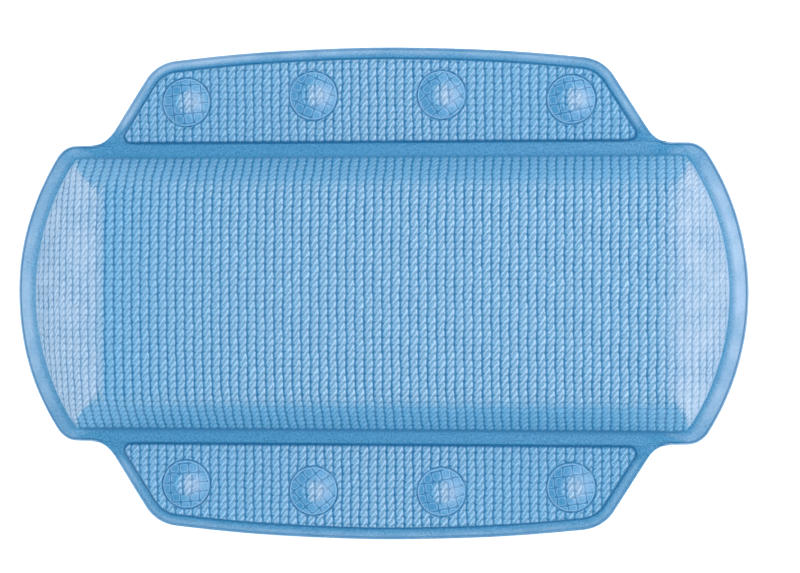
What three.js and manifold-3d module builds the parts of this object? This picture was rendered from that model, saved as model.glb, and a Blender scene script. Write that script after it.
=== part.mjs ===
// Bath pillow. A foam block lies between two vinyl sheets that are welded together all round it,
// and a flap with a row of suction cups folds along each long side of the pad.
// Millimetres. +X runs along the pillow, +Y towards the top flap and +Z away from the wall.
// The pillow lies on its back: the lips of the cups and the back of the pad are at Z = 0.

import * as THREE from 'three';
import { mergeVertices } from 'three/addons/utils/BufferGeometryUtils.js';
import Module from 'manifold-3d';

const wasm = await Module();
wasm.setup();

const { degToRad } = THREE.MathUtils;

// Outline of the welded sheets, seen from the front
const overallWidth = 320;
const overallHeight = 215;
const bodyHeight = 130.6; // between the two shoulder edges
const sideRadius = 114; // the round ends of the body
const shoulderRadius = 10.5;
const flapRootWidth = 242.5; // where the straight sides of a flap would meet the shoulder edge
const flapSlant = degToRad(32.4); // of those sides from upright
const flapRootRadius = 11;
const flapCornerRadius = 18;
const flapEdgeRadius = 815; // the bowed outer edge of a flap
const foldOffset = 1; // of the fold line outside the shoulder edge

// Sheets and welds
const knitThickness = 1.8; // the embossed front sheet away from the welds
const weldThickness = 0.8; // the front sheet pressed thin in a weld
const backThickness = 0.8; // the plain back sheet
const clearance = 0.3; // between pieces that touch
const sideBand = 7.5; // the flat weld along the round ends
const padBand = 5.5; // the flat weld between the pad and the shoulder edge
const flapBand = 5; // the flat weld round the panel of a flap
const panelCornerRadius = 3; // of that panel beside the fold

// Pad
const crestHeight = 19; // of the crown above the weld
const crownRadius = 330;
const flankSlope = degToRad(50); // the long sides
const flankBlend = 6; // height over which crown and flank run into each other
const ridgeMargin = 10; // of the ridge at each end inside the corners of the pad
const ridgeBlend = 1.2;
const facetBulge = 0.6; // 0 is a flat end facet, and more makes it rounder and steeper at its foot
const cornerFacet = 1.5; // least width of an end facet, at the corners of the pad
const backSlope = degToRad(42); // the long sides on the wall side
const backBlend = 4;
const backCut = 0.5; // taken off the swell of the back, so that it lies flat on the wall

// Suction cups
const cupCount = 4; // on each flap
const cupPitch = 56.3;
const cupRowInset = 20.8; // of the row of cups from the outer edge of the flap
const cupRowRadius = 1320; // the row is bowed a little less than the edge
const cupStandoff = 10; // from the lips to the back of a flap
const lipRadius = 14;
const lipWidth = 1.2; // the flat ring that seals on the wall
const lipThickness = 0.5;
const roofThickness = 2.7; // of the bell at its middle
const bellCurve = 1.3; // 1 is a straight cone, and more is a rounder bell
const neckRadius = 4;
const headRadius = 10.4; // the flat head that is held between the sheets
const headThickness = 0.9;
const discHeight = 0.9; // swell of the front sheet over a head
const discMargin = 0.6; // of the swell round a head

// Smoothness of the faceted curves
const sideSteps = 9;
const filletSteps = 5;
const edgeSteps = 4;
const facetSteps = 5; // grid lines of the pad from a ridge out to the end
const shelfSteps = 2; // grid lines on the rounded strip inside a ridge
const shelfWidth = 5;
const middleSteps = 4; // grid lines between those strips
const rowSteps = 16; // grid lines across the pad
const discSteps = 3;
const bellSteps = 5;
const cupSides = 20;
const mergeDistance = 1e-4; // corners of a surface that are this close are one

// Places that follow from the sizes
const shoulderY = bodyHeight / 2;
const foldY = shoulderY + foldOffset;
const padHalfHeight = shoulderY - padBand;
const sideCentre = new THREE.Vector2(overallWidth / 2 - sideRadius, 0);
const edgeCentre = new THREE.Vector2(0, overallHeight / 2 - flapEdgeRadius);
const rootCorner = new THREE.Vector2(flapRootWidth / 2, shoulderY);
const sideOut = new THREE.Vector2(Math.cos(flapSlant), Math.sin(flapSlant)); // out of a flap's side
const backLow = cupStandoff;
const backHigh = backLow + backThickness;
const weldPlane = backHigh + clearance / 2; // the folds lie in this plane
const frontLow = weldPlane + clearance / 2;
const frontHigh = frontLow + weldThickness;
const panelHigh = frontLow + knitThickness;
const headLow = backHigh + clearance;
const headHigh = headLow + headThickness;
const grooveDepth = clearance + Math.max(weldThickness, backThickness);
const panelLow = foldY + clearance / 2 + grooveDepth; // a flap's panel starts beside the fold groove
const ridgeX = padEdge(padHalfHeight, 0) - ridgeMargin;

const frontForm = {
  crest: crestHeight,
  radius: crownRadius,
  slope: flankSlope,
  flankBlend,
};
const backForm = {
  crest: backLow + backCut,
  radius: Infinity,
  slope: backSlope,
  flankBlend: backBlend,
};

// Solids

function solidOf(geometry) {
  const bare = geometry.clone();
  bare.deleteAttribute('normal');
  bare.deleteAttribute('uv');
  const merged = mergeVertices(bare, mergeDistance);
  const corners = merged.index.array;
  const triangles = [];
  for (let i = 0; i < corners.length; i += 3) {
    const [a, b, c] = corners.slice(i, i + 3);
    if (a !== b && b !== c && c !== a) triangles.push(a, b, c);
  }
  const mesh = new wasm.Mesh({
    numProp: 3,
    vertProperties: merged.attributes.position.array,
    triVerts: Uint32Array.from(triangles),
  });
  return new wasm.Manifold(mesh);
}

function geometryOf(solid) {
  const mesh = solid.getMesh();
  const geometry = new THREE.BufferGeometry();
  geometry.setAttribute('position', new THREE.BufferAttribute(mesh.vertProperties, 3));
  geometry.setIndex(new THREE.BufferAttribute(mesh.triVerts, 1));
  geometry.computeVertexNormals();
  return geometry;
}

function joined(geometries) {
  return geometries.map(solidOf).reduce((whole, next) => whole.add(next));
}

function plate(outline, low, high) {
  const shape = new THREE.Shape(outline);
  const geometry = new THREE.ExtrudeGeometry(shape, { depth: high - low, bevelEnabled: false });
  return geometry.translate(0, 0, low);
}

// A turned solid: profile points are [radius, z], from the axis round to the axis again
function turned(profile) {
  const points = profile.map(([radius, z]) => new THREE.Vector2(radius, z));
  return new THREE.LatheGeometry(points, cupSides).rotateX(Math.PI / 2);
}

function drum(radius, low, high) {
  return turned([[0, low], [radius, low], [radius, high], [0, high]]);
}

// Outlines

function arc(centre, radius, from, to, steps) {
  return Array.from({ length: steps + 1 }, (_, i) => {
    const angle = from + ((to - from) * i) / steps;
    const x = centre.x + radius * Math.cos(angle);
    const y = centre.y + radius * Math.sin(angle);
    return new THREE.Vector2(x, y);
  });
}

function flipX(points) {
  return points.map((p) => new THREE.Vector2(-p.x, p.y)).reverse();
}

function flipY(points) {
  return points.map((p) => new THREE.Vector2(p.x, -p.y)).reverse();
}

// Centre of a circle at height y that touches a flap's side line, moved outwards by shift
function besideFlap(y, shift) {
  const reach = rootCorner.dot(sideOut) + shift;
  return new THREE.Vector2((reach - y * sideOut.y) / sideOut.x, y);
}

// From a flap's right side, round its corner and along its bowed edge to the middle
function flapCorner(inset) {
  const radius = flapCornerRadius - inset;
  const edgeRadius = flapEdgeRadius - inset;
  const along = new THREE.Vector2(-sideOut.y, sideOut.x);
  const reach = rootCorner.dot(sideOut) - inset - radius;
  const foot = sideOut.clone().multiplyScalar(reach).sub(edgeCentre);
  const back = foot.dot(along);
  const travel = Math.sqrt(back ** 2 - foot.lengthSq() + (edgeRadius - radius) ** 2) - back;
  const centre = edgeCentre.clone().add(foot).addScaledVector(along, travel);
  const turn = centre.clone().sub(edgeCentre).angle();
  return [
    ...arc(centre, radius, flapSlant, turn, filletSteps),
    ...arc(edgeCentre, edgeRadius, turn, Math.PI / 2, edgeSteps).slice(1),
  ];
}

function sheetOutline() {
  const shoulder = new THREE.Vector2(0, shoulderY - shoulderRadius);
  const lean = Math.asin(shoulder.y / (sideRadius - shoulderRadius));
  shoulder.x = sideCentre.x + (sideRadius - shoulderRadius) * Math.cos(lean);
  const root = besideFlap(shoulderY + flapRootRadius, flapRootRadius);
  const quarter = [
    ...arc(sideCentre, sideRadius, 0, lean, sideSteps),
    ...arc(shoulder, shoulderRadius, lean, Math.PI / 2, filletSteps).slice(1),
    ...arc(root, flapRootRadius, -Math.PI / 2, flapSlant - Math.PI, filletSteps),
    ...flapCorner(0),
  ];
  const upper = [...quarter, ...flipX(quarter).slice(1)];
  return [...upper, ...flipY(upper).slice(1, -1)];
}

// The part of an outline on the side of the line y = level that sign points to
function clipped(outline, level, sign) {
  const kept = [];
  outline.forEach((p, i) => {
    const next = outline[(i + 1) % outline.length];
    const here = sign * (p.y - level);
    const there = sign * (next.y - level);
    if (here >= 0) kept.push(p);
    if (here * there < 0) kept.push(p.clone().lerp(next, here / (here - there)));
  });
  return kept;
}

function flapPanelOutline() {
  const corner = besideFlap(panelLow + panelCornerRadius, -flapBand - panelCornerRadius);
  const half = [
    ...arc(corner, panelCornerRadius, -Math.PI / 2, flapSlant, filletSteps),
    ...flapCorner(flapBand),
  ];
  return [...half, ...flipX(half).slice(1)];
}

// The groove that thins the sheets to an edge on both sides of a fold
function foldGroove(y) {
  const half = clearance / 2;
  const reach = half + grooveDepth;
  const section = new THREE.Shape([
    new THREE.Vector2(half, 0),
    new THREE.Vector2(reach, grooveDepth),
    new THREE.Vector2(-reach, grooveDepth),
    new THREE.Vector2(-half, 0),
    new THREE.Vector2(-reach, -grooveDepth),
    new THREE.Vector2(reach, -grooveDepth),
  ]);
  const groove = new THREE.ExtrudeGeometry(section, { depth: overallWidth, bevelEnabled: false });
  const axes = [[0, 1, 0], [0, 0, 1], [1, 0, 0]].map((axis) => new THREE.Vector3(...axis));
  groove.applyMatrix4(new THREE.Matrix4().makeBasis(...axes));
  return groove.translate(-overallWidth / 2, y, weldPlane);
}

// Pad

// The lower of two heights, with the crease between them rounded over a height of blend
function softMin(a, b, blend) {
  const low = Math.min(a, b);
  const span = Math.min(blend, low);
  if (span <= 0) return low;
  return low - Math.max(span - Math.abs(a - b), 0) ** 2 / (4 * span);
}

// Half the width of the pad's plan at y
function padEdge(y, inset) {
  const radius = sideRadius - sideBand - inset;
  return sideCentre.x + Math.sqrt(radius ** 2 - y ** 2);
}

function crownHeight(y, form, depth) {
  return form.crest - depth - y ** 2 / (2 * form.radius);
}

// Height of the pad between its ridges: a crown that runs into straight flanks
function loafHeight(y, form, inset, depth) {
  const flank = (padHalfHeight - inset - Math.abs(y)) * Math.tan(form.slope);
  return softMin(crownHeight(y, form, depth), flank, form.flankBlend);
}

// Height of an end facet as a share of the crown's, where t runs from 0 at its foot to 1 at the ridge
function facetShare(t) {
  if (t > 1) return 1 + (t - 1) * (1 - facetBulge);
  return t * (1 + facetBulge * (1 - t));
}

// The t at which the facet has that share of the crown's height
function facetPlace(share) {
  const rise = 1 + facetBulge;
  return (rise - Math.sqrt(rise ** 2 - 4 * facetBulge * share)) / (2 * facetBulge);
}

function facetWidth(y, inset) {
  return padEdge(y, inset) - ridgeX + inset;
}

// Height of the pad over its weld, with a facet from each ridge to the end
function padHeight(x, y, form, inset, depth) {
  const t = (padEdge(y, inset) - Math.abs(x)) / facetWidth(y, inset);
  const facet = crownHeight(y, form, depth) * facetShare(t);
  return softMin(loafHeight(y, form, inset, depth), facet, ridgeBlend);
}

// Where the loaf and the facet meet at y
function creaseX(y, inset) {
  const share = loafHeight(y, frontForm, inset, inset) / crownHeight(y, frontForm, inset);
  const width = facetWidth(y, inset) * facetPlace(share);
  return padEdge(y, inset) - Math.max(width, cornerFacet);
}

// Grid lines across the pad lie closer together towards the flanks
function gridY(row, inset) {
  const t = (2 * row) / rowSteps - 1;
  return Math.sign(t) * (1 - (1 - Math.abs(t)) ** 2) * (padHalfHeight - inset);
}

// Grid lines along the pad follow the creases at its ends
function gridLine(y, inset) {
  const crease = creaseX(y, inset);
  const between = (from, to, steps) =>
    Array.from({ length: steps }, (_, i) => from + ((to - from) * (i + 1)) / steps);
  const half = [
    ...between(0, crease - shelfWidth, middleSteps / 2),
    ...between(crease - shelfWidth, crease, shelfSteps),
    ...between(crease, padEdge(y, inset), facetSteps),
  ];
  return [...half.map((x) => -x).reverse(), 0, ...half];
}

// A closed block over the plan of the pad, between the heights top(x, y) and bottom(x, y)
function padBlock(inset, top, bottom) {
  const columns = middleSteps + 2 * (shelfSteps + facetSteps);
  const points = [];
  for (const height of [top, bottom]) {
    for (let row = 0; row <= rowSteps; row += 1) {
      const y = gridY(row, inset);
      for (const x of gridLine(y, inset)) points.push(x, y, height(x, y));
    }
  }
  const at = (row, column) => row * (columns + 1) + column;
  const under = at(rowSteps + 1, 0);
  const faces = [];
  const quad = (a, b, c, d) => faces.push(a, b, c, a, c, d);
  const rim = [];
  for (let row = 0; row < rowSteps; row += 1) {
    for (let column = 0; column < columns; column += 1) {
      const ring = [at(row, column), at(row, column + 1), at(row + 1, column + 1), at(row + 1, column)];
      quad(...ring);
      quad(...ring.reverse().map((point) => point + under));
    }
  }
  for (let column = 0; column < columns; column += 1) rim.push(at(0, column));
  for (let row = 0; row < rowSteps; row += 1) rim.push(at(row, columns));
  for (let column = columns; column > 0; column -= 1) rim.push(at(rowSteps, column));
  for (let row = rowSteps; row > 0; row -= 1) rim.push(at(row, 0));
  rim.forEach((a, i) => {
    const b = rim[(i + 1) % rim.length];
    quad(under + a, under + b, b, a);
  });
  const geometry = new THREE.BufferGeometry();
  geometry.setAttribute('position', new THREE.Float32BufferAttribute(points, 3));
  geometry.setIndex(faces);
  geometry.computeVertexNormals();
  return geometry;
}

function frontHeight(inset) {
  return (x, y) => frontHigh + padHeight(x, y, frontForm, inset, inset);
}

function backHeight(inset, depth) {
  return (x, y) => Math.max(backLow - padHeight(x, y, backForm, inset, depth), depth);
}

function bodyOutline() {
  return clipped(clipped(sheetOutline(), foldY, -1), -foldY, 1);
}

function withoutFolds(solid) {
  return [foldY, -foldY].reduce((rest, y) => rest.subtract(solidOf(foldGroove(y))), solid);
}

function padFrontCover() {
  const swell = padBlock(0, frontHeight(0), () => frontLow);
  const hollow = padBlock(knitThickness, frontHeight(knitThickness), () => weldPlane);
  const sheet = joined([plate(bodyOutline(), frontLow, frontHigh), swell]);
  return geometryOf(withoutFolds(sheet.subtract(solidOf(hollow))));
}

function padBackCover() {
  const swell = padBlock(0, () => backHigh, backHeight(0, 0));
  const hollow = padBlock(backThickness, () => weldPlane, backHeight(backThickness, backThickness));
  const sheet = joined([plate(bodyOutline(), backLow, backHigh), swell]);
  return geometryOf(withoutFolds(sheet.subtract(solidOf(hollow))));
}

function foamCore() {
  const inset = knitThickness + clearance;
  return padBlock(inset, frontHeight(inset), backHeight(inset, backThickness + clearance));
}

// Flaps and cups, made for the top flap

function cupPlaces() {
  return Array.from({ length: cupCount }, (_, i) => {
    const x = (i - (cupCount - 1) / 2) * cupPitch;
    const y = overallHeight / 2 - cupRowInset - x ** 2 / (2 * cupRowRadius);
    return new THREE.Vector2(x, y);
  });
}

function atEachCup(geometry) {
  return cupPlaces().map((place) => geometry.clone().translate(place.x, place.y, 0));
}

function flapOutline() {
  return clipped(sheetOutline(), foldY, 1);
}

// The swell of the front sheet over the head of a cup
function disc() {
  const radius = headRadius + discMargin;
  const swell = Array.from({ length: discSteps }, (_, i) => {
    const share = 1 - i / discSteps;
    return [radius * share, panelHigh + discHeight * (1 - share ** 2)];
  });
  return turned([[0, frontLow], [radius, frontLow], ...swell, [0, panelHigh + discHeight]]);
}

function flapFrontSheet() {
  const pocket = drum(headRadius + clearance, weldPlane, headHigh + clearance);
  const sheet = joined([
    plate(flapOutline(), frontLow, frontHigh),
    plate(flapPanelOutline(), frontLow, panelHigh),
    ...atEachCup(disc()),
  ]);
  return geometryOf(withoutFolds(sheet.subtract(joined(atEachCup(pocket)))));
}

function flapBackSheet() {
  const hole = drum(neckRadius + clearance, backLow - clearance, backHigh + clearance);
  const sheet = solidOf(plate(flapOutline(), backLow, backHigh));
  return geometryOf(withoutFolds(sheet.subtract(joined(atEachCup(hole)))));
}

// One moulding: a bell with a sealing lip, a neck through the back sheet and a flat head
function suctionCup() {
  const bellTop = backLow - clearance;
  const hollowDepth = bellTop - roofThickness;
  const lipInside = lipRadius - lipWidth;
  const steps = Array.from({ length: bellSteps }, (_, i) => (i + 1) / bellSteps);
  const bell = steps.map((t) => [
    neckRadius + (lipRadius - neckRadius) * t,
    bellTop - (bellTop - lipThickness) * t ** bellCurve,
  ]);
  const hollow = steps.slice(0, -1).reverse().map((t) => [lipInside * t, hollowDepth * (1 - t ** 2)]);
  const profile = [
    [0, headHigh],
    [headRadius, headHigh],
    [headRadius, headLow],
    [neckRadius, headLow],
    [neckRadius, bellTop],
    ...bell,
    [lipRadius, 0],
    [lipInside, 0],
    ...hollow,
    [0, hollowDepth],
  ];
  return turned(profile.reverse());
}

// Materials and assembly

function opaque(color, roughness) {
  return new THREE.MeshStandardMaterial({ color, roughness, metalness: 0 });
}

function piece(name, geometry, material) {
  const mesh = new THREE.Mesh(geometry, material);
  mesh.name = name;
  return mesh;
}

const knitBlue = () => opaque(0x7db0d9, 0.5);
const plainBlue = () => opaque(0x6aa5d2, 0.45);
const foamCream = () => opaque(0xefe8d2, 0.95);
const clearVinyl = () =>
  new THREE.MeshStandardMaterial({
    color: 0xdde9f0,
    roughness: 0.2,
    metalness: 0,
    transparent: true,
    opacity: 0.6,
  });

// The bottom flap is the top flap turned half round, so its cups count from the other end
function flap(side, turn) {
  const group = new THREE.Group();
  group.rotation.z = turn;
  group.add(piece(`${side}_flap_front_sheet`, flapFrontSheet(), knitBlue()));
  group.add(piece(`${side}_flap_back_sheet`, flapBackSheet(), plainBlue()));
  cupPlaces().forEach((place, i) => {
    const number = turn === 0 ? i + 1 : cupCount - i;
    const cup = piece(`suction_cup_${side}_${number}`, suctionCup(), clearVinyl());
    cup.position.set(place.x, place.y, 0);
    group.add(cup);
  });
  return group;
}

const pillow = new THREE.Group();
pillow.add(piece('pad_front_cover', padFrontCover(), knitBlue()));
pillow.add(piece('pad_back_cover', padBackCover(), plainBlue()));
pillow.add(piece('foam_core', foamCore(), foamCream()));
pillow.add(flap('top', 0));
pillow.add(flap('bottom', Math.PI));

export default pillow;
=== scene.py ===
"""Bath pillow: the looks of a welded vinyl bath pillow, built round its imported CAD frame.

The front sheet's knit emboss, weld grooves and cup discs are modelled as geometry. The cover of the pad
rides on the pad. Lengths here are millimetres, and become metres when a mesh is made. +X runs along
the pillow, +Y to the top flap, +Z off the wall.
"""

import math

import bpy
import numpy as np
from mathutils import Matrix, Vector


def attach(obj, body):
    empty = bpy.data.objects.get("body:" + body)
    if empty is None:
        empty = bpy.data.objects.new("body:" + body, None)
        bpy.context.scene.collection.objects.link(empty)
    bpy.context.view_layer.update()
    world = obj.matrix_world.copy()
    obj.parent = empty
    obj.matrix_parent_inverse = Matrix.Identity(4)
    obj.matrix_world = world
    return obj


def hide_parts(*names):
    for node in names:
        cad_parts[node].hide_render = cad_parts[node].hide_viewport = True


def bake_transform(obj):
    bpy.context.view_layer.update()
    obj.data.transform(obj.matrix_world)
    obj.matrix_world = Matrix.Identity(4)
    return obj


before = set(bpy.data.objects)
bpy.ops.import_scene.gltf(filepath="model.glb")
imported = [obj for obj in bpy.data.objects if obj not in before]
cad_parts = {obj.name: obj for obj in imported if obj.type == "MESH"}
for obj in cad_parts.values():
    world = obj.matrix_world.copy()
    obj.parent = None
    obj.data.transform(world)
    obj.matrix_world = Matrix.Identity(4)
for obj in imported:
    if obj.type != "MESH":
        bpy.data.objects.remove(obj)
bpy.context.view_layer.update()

METRES = 0.001

# Outline of the welded sheets
OVERALL_WIDTH = 321.4  # the hanging ends reach a little past the flat outline
OVERALL_HEIGHT = 215
SHOULDER_Y = 65.3
SIDE_RADIUS = 114
SHOULDER_RADIUS = 10.5
FLAP_ROOT = 121.25  # half the width of a flap where its straight sides would meet the shoulder edge
FLAP_SLANT = math.radians(32.4)
FLAP_ROOT_RADIUS = 11
FLAP_CORNER_RADIUS = 18
FLAP_EDGE_RADIUS = 815
SIDE_X = OVERALL_WIDTH / 2 - SIDE_RADIUS  # centre of each round end
EDGE_Y = OVERALL_HEIGHT / 2 - FLAP_EDGE_RADIUS  # centre of a flap's bowed edge

# Sheets and welds
BACK_LOW = 10.0
BACK_HIGH = 10.8
FRONT_LOW = 10.85  # the two sheets are welded together
FRONT_HIGH = 11.9
FOLD_Y = 66.3
SHEET = 1.8  # the embossed sheet away from the welds
BACK_SHEET = 0.8
SIDE_BAND = 8.2
FLAP_BAND = 5.0
PANEL_LOW = 66.2  # a flap's panel starts here, beside its fold
PANEL_RISE = 0.62  # of a flap's panel over its weld
PANEL_CORNER = 3.0
LIP_GROOVE = 0.95  # from the edge to the fine groove that runs inside it
LIP_LINE = 0.32  # half the width of the painted shade line in that groove
EDGE_LOOPS = [2.2, 1.6, 1.3, 1.1, 0.95, 0.8, 0.6, 0.3, 0.1, 0.0]  # from the edge
EDGE_REACH = 4.0  # distances from the edge are worked out up to this
PANEL_INSIDE, PANEL_OUTSIDE = 3.0, 9.0  # and those from a panel's border up to these
WELD_START = 0.5  # no point farther inside the pad than this is near the edge
BACK_EDGE = 0.6  # share of the front's edge form that the back sheet has
CLEARANCE = 0.3  # between the foam block and the sheets
SIDE_DROOP = 2.8  # the round ends hang down this much at their edge
FLAP_DROOP = 1.5  # and the outer edges of the flaps this much

# Pad
PAD_HALF = 59.8
CREST = 19.0
CROWN_RADIUS = 330.0
FLANK_SLOPE = math.radians(50)
FLANK_BLEND = 6.0
FOOT = 0.8  # height over which the pad runs out into its weld
BACK_SLOPE = math.radians(42)
BACK_BLEND = 4.0
BACK_CUT = 0.5  # taken off the swell of the back, so that it lies flat on the wall
FACET_BULGE = 0.6
LEFT_RIDGE, LEFT_BLEND = 120.5, 0.7  # a sharp fold
RIGHT_RIDGE, RIGHT_BLEND = 127.0, 3.5  # a soft one

# Emboss
COLUMN = 3.9
ROW = 3.15
COLUMN_SAMPLES = 5
ROW_SAMPLES = 4
GROOVE_DEPTH = 0.70
CREASE_DEPTH = 0.08  # between two cells of a column
PIT_DEPTH = 0.25
GROOVE_SKEW = 1.8  # the groove's right wall is longer than its left one by this much
STRAND_HEIGHT = 0.22
STRAND_RISE = 0.60  # cells that a strand climbs over a column, were it straight
STRAND_CURVE = 0.90  # and what its bend adds
SHIFT, SHIFT_STEP = 0.07, 2.4  # of a column along its rows, in cells, and its phase per column
SWAY, SWAY_RATE, SWAY_STEP = 0.10, 0.37, 1.7  # of a column in cells, and its phase per row and per column

# Cups
CUP_X = [-84.45, -28.15, 28.15, 84.45]
CUP_Y = [84.0, 86.4, 86.4, 84.0]
CUP_PITCH = CUP_X[3] - CUP_X[2]
LIP_RADIUS = 14.0
HOLLOW_RADIUS, HOLLOW_HEIGHT = 12.9, 6.9
BELL_TOP, BELL_TOP_RADIUS = 9.5, 4.4
BELL_DROP = 9.0  # from there to the lip
NECK_RADIUS = 4.0
HEAD_RADIUS = 10.4
HEAD_LOW, HEAD_TOP = 11.1, 12.0
NECK_HOLE = 4.4  # radius of the hole for a cup's neck in the back sheet of a flap
DISC_RADIUS = 10.4
DISC_SWELL = 2.0
DISC_CORE = 4.8  # the emboss is left standing inside this
TILE = 4.2
TILE_POWER = 5.0  # of the rounded squares: 2 is a circle, and more is squarer
TILE_START = (0.37, 0.21)  # place of the first tile joints from the disc's middle, in tiles
TILE_TURNS = {"top": [5, -22, 35, 12], "bottom": [8, 12, 40, 3]}  # degrees, of each disc's tiles
NO_TILE = (99.0, 99.0, 0.0)  # a place far from any disc, and no share of tiles

# Colours of the embossed vinyl
CELL_DEEP = (0.115, 0.355, 0.605, 1)
CELL_PALE = (0.185, 0.425, 0.680, 1)
# painted shade copy of the cells, bluer, for the flanks and beside the left fold
CELL_SHADED = (0.072, 0.455, 0.840, 1)
# painted highlight on the strands and on the right edge of each column
PAINTED_HIGHLIGHT = (0.490, 0.710, 0.930, 1)
# painted shade in the grooves, pits and creases of the emboss
PAINTED_CAVITY_SHADE = (0.001, 0.158, 0.352, 1)
TILE_DEEP = (0.045, 0.250, 0.480, 1)
TILE_PALE = (0.110, 0.335, 0.585, 1)
# painted shade copy of the tiles, for the side of each disc away from the light
TILE_SHADED = (0.012, 0.190, 0.395, 1)
TILE_JOINT = (0.010, 0.160, 0.355, 1)
# painted highlight along the bead just inside each disc's outline and on one side of each tile joint
LIT_EDGE = (0.360, 0.600, 0.860, 1)
WELD_DEEP = (0.001, 0.155, 0.335, 1)
WELD_PALE = (0.062, 0.295, 0.540, 1)
# painted sheen: a whitish veil on the end facets, rims and discs
PAINTED_SHEEN = (0.490, 0.625, 0.820, 1)
# painted shade along the edge groove, the pad's foot, the flap panels' border and the discs' rings
PAINTED_SEAM_SHADE = (0.004, 0.138, 0.320, 1)


def smooth(t):
    t = np.clip(t, 0, 1)
    return t * t * (3 - 2 * t)


def bell(distance, width):
    return np.exp(-((distance / width) ** 2))


def soft_min(a, b, blend):
    """The lower of two heights, with the crease between them rounded over a height of blend."""
    low = np.minimum(a, b)
    span = np.maximum(np.minimum(blend, low), 1e-6)
    return low - np.maximum(span - np.abs(a - b), 0) ** 2 / (4 * span)


# Outlines


def arc(centre, radius, start, end, steps=24):
    angle = np.linspace(start, end, steps + 1)
    return np.stack([centre[0] + radius * np.cos(angle), centre[1] + radius * np.sin(angle)], 1)


def mirror_x(points):
    return (points * [-1, 1])[::-1]


def mirror_y(points):
    return (points * [1, -1])[::-1]


def beside_flap(y, shift):
    """Centre at height y of a circle that touches a flap's straight side, moved outwards by shift."""
    reach = FLAP_ROOT * math.cos(FLAP_SLANT) + SHOULDER_Y * math.sin(FLAP_SLANT) + shift
    return (reach - y * math.sin(FLAP_SLANT)) / math.cos(FLAP_SLANT), y


def shoulder():
    """Centre of the right shoulder's arc, and the angle at which the round end runs into it."""
    lean = math.asin((SHOULDER_Y - SHOULDER_RADIUS) / (SIDE_RADIUS - SHOULDER_RADIUS))
    return (SIDE_X + (SIDE_RADIUS - SHOULDER_RADIUS) * math.cos(lean), SHOULDER_Y - SHOULDER_RADIUS), lean


def flap_corner(inset):
    """The arc round a flap's right corner, and its bowed edge from there to the middle."""
    radius, edge_radius = FLAP_CORNER_RADIUS - inset, FLAP_EDGE_RADIUS - inset
    out = np.array([math.cos(FLAP_SLANT), math.sin(FLAP_SLANT)])
    along = np.array([-out[1], out[0]])
    foot = out * (out @ [FLAP_ROOT, SHOULDER_Y] - inset - radius) - [0, EDGE_Y]
    back = foot @ along
    travel = math.sqrt(back**2 - foot @ foot + (edge_radius - radius) ** 2) - back
    offset = foot + travel * along
    turn = math.atan2(offset[1], offset[0])
    corner = arc(offset + [0, EDGE_Y], radius, FLAP_SLANT, turn, 30)
    return corner, arc((0, EDGE_Y), edge_radius, turn, math.pi / 2, 200)


def flap_root():
    return arc(beside_flap(SHOULDER_Y + FLAP_ROOT_RADIUS, FLAP_ROOT_RADIUS), FLAP_ROOT_RADIUS,
               -math.pi / 2, FLAP_SLANT - math.pi, 30)


def resampled(points, count):
    """count + 1 points evenly along a line."""
    step = np.linalg.norm(np.diff(points, axis=0), axis=1)
    along = np.concatenate([[0], np.cumsum(step)])
    at = np.linspace(0, along[-1], count + 1)
    return np.stack([np.interp(at, along, points[:, k]) for k in range(2)], 1)


def whole_outline():
    """The edge of the welded sheets, as points about 0.6 mm apart."""
    centre, lean = shoulder()
    corner, edge = flap_corner(0)
    quarter = np.concatenate([
        arc((SIDE_X, 0), SIDE_RADIUS, 0, lean, 200),
        arc(centre, SHOULDER_RADIUS, lean, math.pi / 2, 40),
        flap_root(), corner, edge,
    ])
    upper = np.concatenate([quarter, mirror_x(quarter)])
    return resampled(np.concatenate([upper, mirror_y(upper), upper[:1]]), 1800)


def distance_to(points, line, reach):
    """How far points are from the points of a line, where that is under reach."""
    found = np.full(len(points), float(reach))
    at_once = 4000
    for start in range(0, len(points), at_once):
        block = slice(start, start + at_once)
        apart = ((points[block, None, :] - line[None]) ** 2).sum(2)
        found[block] = np.minimum(np.sqrt(apart.min(1)), reach)
    return found


OUTLINE = whole_outline()


def edge_distance(points, outside):
    """How far points are from the sheets' edge. Only those outside a panel can be near it."""
    found = np.full(len(points), EDGE_REACH)
    found[outside] = distance_to(points[outside], OUTLINE, EDGE_REACH)
    return found


def body_sides(bottom_count, side_count):
    """The edge of the pad's part of the sheets as four lines, from the bottom, counterclockwise."""
    centre, lean = shoulder()
    middle = (lean + math.pi / 2) / 2
    half_top = np.concatenate([arc(centre, SHOULDER_RADIUS, middle, math.pi / 2), [[0, SHOULDER_Y]]])
    top = np.concatenate([half_top, mirror_x(half_top)[1:]])
    half_right = np.concatenate([arc((SIDE_X, 0), SIDE_RADIUS, 0, lean, 100),
                                 arc(centre, SHOULDER_RADIUS, lean, middle)])
    right = np.concatenate([mirror_y(half_right), half_right[1:]])
    return [resampled(mirror_y(top), bottom_count), resampled(right, side_count),
            resampled(top, bottom_count), resampled(mirror_x(right), side_count)]


def flap_sides(low_half, foot, inset, bottom_count, side_count):
    """The edge of the top flap, or of its panel, as four lines: its foot, and the corners outside it."""
    corner, edge = flap_corner(inset)
    cut = len(corner) // 2
    right = np.concatenate([foot, corner[:cut + 1]])
    half_top = np.concatenate([corner[cut:], edge])
    bottom = np.concatenate([mirror_x(low_half), low_half[1:]])
    top = np.concatenate([half_top, mirror_x(half_top)[1:]])
    return [resampled(bottom, bottom_count), resampled(right, side_count),
            resampled(top, bottom_count), resampled(mirror_x(right), side_count)]


def flap_edge(bottom_count, side_count):
    root = flap_root()
    return flap_sides(np.array([[0, SHOULDER_Y], root[0]]), root, 0, bottom_count, side_count)


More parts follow.
